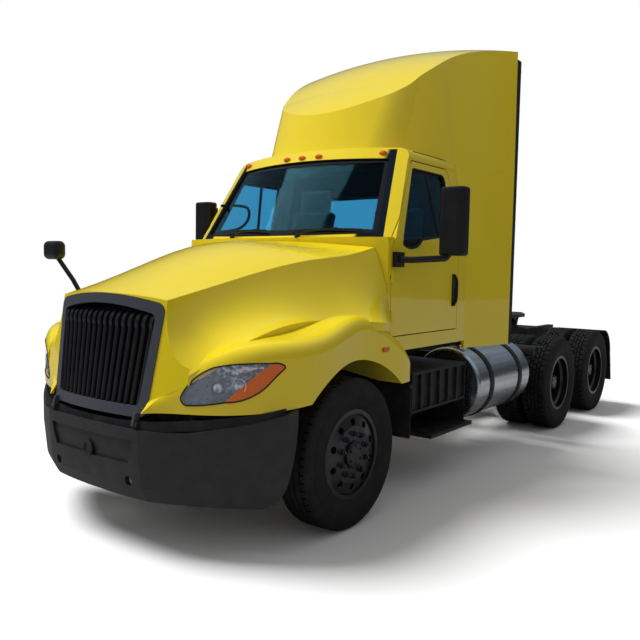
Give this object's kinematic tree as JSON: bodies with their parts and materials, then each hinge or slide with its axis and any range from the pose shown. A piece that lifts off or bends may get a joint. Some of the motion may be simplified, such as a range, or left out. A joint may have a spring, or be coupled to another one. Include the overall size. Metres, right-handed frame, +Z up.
{
  "type": "semi truck tractor unit",
  "caption": "Conventional day-cab highway tractor with three axles, tilting hood, opening doors, tall roof fairing, side extenders and a fifth wheel on an open frame.",
  "frame": {"origin": "middle of the whole truck's box, on the road", "axes": "+Z up, +Y to the rear, +X to the driver's left side"},
  "size_m": [2.89, 7.257, 3.8758],
  "materials": {
    "yellow_paint": "gloss",
    "grey_plastic": "satin",
    "black_plastic": "satin",
    "frame_paint": "satin",
    "engine_iron": "matte",
    "tyre": "matte",
    "wheel_paint": "gloss",
    "glass": "gloss",
    "lamp_glass": "gloss",
    "tail_red": "gloss",
    "seat_fabric": "matte",
    "polished_tank": "polished",
    "rubber": "matte",
    "strap_steel": "satin"
  },
  "bodies": {
    "chassis": {"air_springs": "rubber", "air_tank": "frame_paint", "battery_box": "black_plastic", "bumper_center": "grey_plastic", "bumper_ends": "grey_plastic", "cab_shell": "yellow_paint", "crossmembers": "frame_paint", "dashboard": "black_plastic", "drive_axles": "frame_paint", "driveshafts": "frame_paint", "edge_trim": "rubber", "engine_block": "engine_iron", "exhaust_box": "frame_paint", "fifth_wheel_base": "frame_paint", "frame_brackets": "frame_paint", "frame_rails": "frame_paint", "front_axle": "frame_paint", "front_springs": "frame_paint", "fuel_tanks": "polished_tank", "quarter_fenders": "black_plastic", "radiator": "frame_paint", "rear_window": "glass", "roof_fairing": "yellow_paint", "seats": "seat_fabric", "side_extenders": "yellow_paint", "splash_flaps": "grey_plastic", "suspension_arms": "frame_paint", "tail_lamps": "tail_red", "tank_straps": "strap_steel", "windshield": "glass"},
    "hood": {"hood": "yellow_paint", "front_fenders": "yellow_paint", "grille_frame": "grey_plastic", "grille_bars": "black_plastic", "hood_mirror": "black_plastic", "headlamps": "lamp_glass"},
    "door_left": {"door_left": "yellow_paint", "door_glass_left": "glass", "door_mirror_left": "black_plastic"},
    "door_right": {"door_right": "yellow_paint", "door_glass_right": "glass", "door_mirror_right": "black_plastic"},
    "steer_left": {"knuckle_left": "frame_paint"},
    "steer_right": {"knuckle_right": "frame_paint"},
    "tie_rod": {"tie_rod": "frame_paint"},
    "steering_wheel": {"steering_wheel": "black_plastic"},
    "wheel_front_left": {"tyre_front_left": "tyre", "wheel_front_left": "wheel_paint"},
    "wheel_front_right": {"tyre_front_right": "tyre", "wheel_front_right": "wheel_paint"},
    "wheels_second_left": {"tyres_second_left": "tyre", "wheels_second_left": "wheel_paint"},
    "wheels_second_right": {"tyres_second_right": "tyre", "wheels_second_right": "wheel_paint"},
    "wheels_third_left": {"tyres_third_left": "tyre", "wheels_third_left": "wheel_paint"},
    "wheels_third_right": {"tyres_third_right": "tyre", "wheels_third_right": "wheel_paint"},
    "fifth_wheel": {"fifth_wheel_plate": "frame_paint", "fifth_wheel_jaws": "frame_paint"}
  },
  "joints": [
    {"name": "hood_tilt", "type": "hinge", "parent": "chassis", "child": "hood", "pos_m": [0, -3.58749, 0.802], "axis": [1, 0, 0], "range_deg": [0, 75]},
    {"name": "door_left_swing", "type": "hinge", "parent": "chassis", "child": "door_left", "pos_m": [1.058, -1.78349, 1.5], "axis": [0, 0, -1], "range_deg": [0, 70]},
    {"name": "door_right_swing", "type": "hinge", "parent": "chassis", "child": "door_right", "pos_m": [-1.058, -1.78349, 1.5], "axis": [0, 0, 1], "range_deg": [0, 70]},
    {"name": "steer_left_turn", "type": "hinge", "parent": "chassis", "child": "steer_left", "pos_m": [0.87, -2.38749, 0.51], "axis": [0, 0, 1], "range_deg": [-38, 38]},
    {"name": "steer_right_turn", "type": "hinge", "parent": "chassis", "child": "steer_right", "pos_m": [-0.87, -2.38749, 0.51], "axis": [0, 0, 1], "range_deg": [-38, 38]},
    {"name": "tie_rod_turn", "type": "hinge", "parent": "steer_left", "child": "tie_rod", "pos_m": [0.87, -2.15749, 0.38], "axis": [0, 0, 1], "range_deg": [-38, 38]},
    {"name": "steering_wheel_turn", "type": "hinge", "parent": "chassis", "child": "steering_wheel", "pos_m": [0.48, -1.37749, 1.86], "axis": [0, 0.5, 0.866], "range_deg": [-684, 684]},
    {"name": "wheel_front_left_spin", "type": "hinge", "parent": "steer_left", "child": "wheel_front_left", "pos_m": [1.04, -2.38749, 0.51], "axis": [1, 0, 0], "continuous": true},
    {"name": "wheel_front_right_spin", "type": "hinge", "parent": "steer_right", "child": "wheel_front_right", "pos_m": [-1.04, -2.38749, 0.51], "axis": [1, 0, 0], "continuous": true},
    {"name": "wheels_second_left_spin", "type": "hinge", "parent": "chassis", "child": "wheels_second_left", "pos_m": [0.902, 1.60651, 0.51], "axis": [1, 0, 0], "continuous": true},
    {"name": "wheels_second_right_spin", "type": "hinge", "parent": "chassis", "child": "wheels_second_right", "pos_m": [-0.902, 1.60651, 0.51], "axis": [1, 0, 0], "continuous": true},
    {"name": "wheels_third_left_spin", "type": "hinge", "parent": "chassis", "child": "wheels_third_left", "pos_m": [0.902, 2.92651, 0.51], "axis": [1, 0, 0], "continuous": true},
    {"name": "wheels_third_right_spin", "type": "hinge", "parent": "chassis", "child": "wheels_third_right", "pos_m": [-0.902, 2.92651, 0.51], "axis": [1, 0, 0], "continuous": true},
    {"name": "fifth_wheel_tilt", "type": "hinge", "parent": "chassis", "child": "fifth_wheel", "pos_m": [0, 2.20651, 1.12], "axis": [1, 0, 0], "range_deg": [-12, 12]}
  ],
  "couplings": [
    {"joint": "steer_right_turn", "follows": "steer_left_turn", "ratio": 1},
    {"joint": "tie_rod_turn", "follows": "steer_left_turn", "ratio": -1},
    {"joint": "steering_wheel_turn", "follows": "steer_left_turn", "ratio": 18}
  ]
}
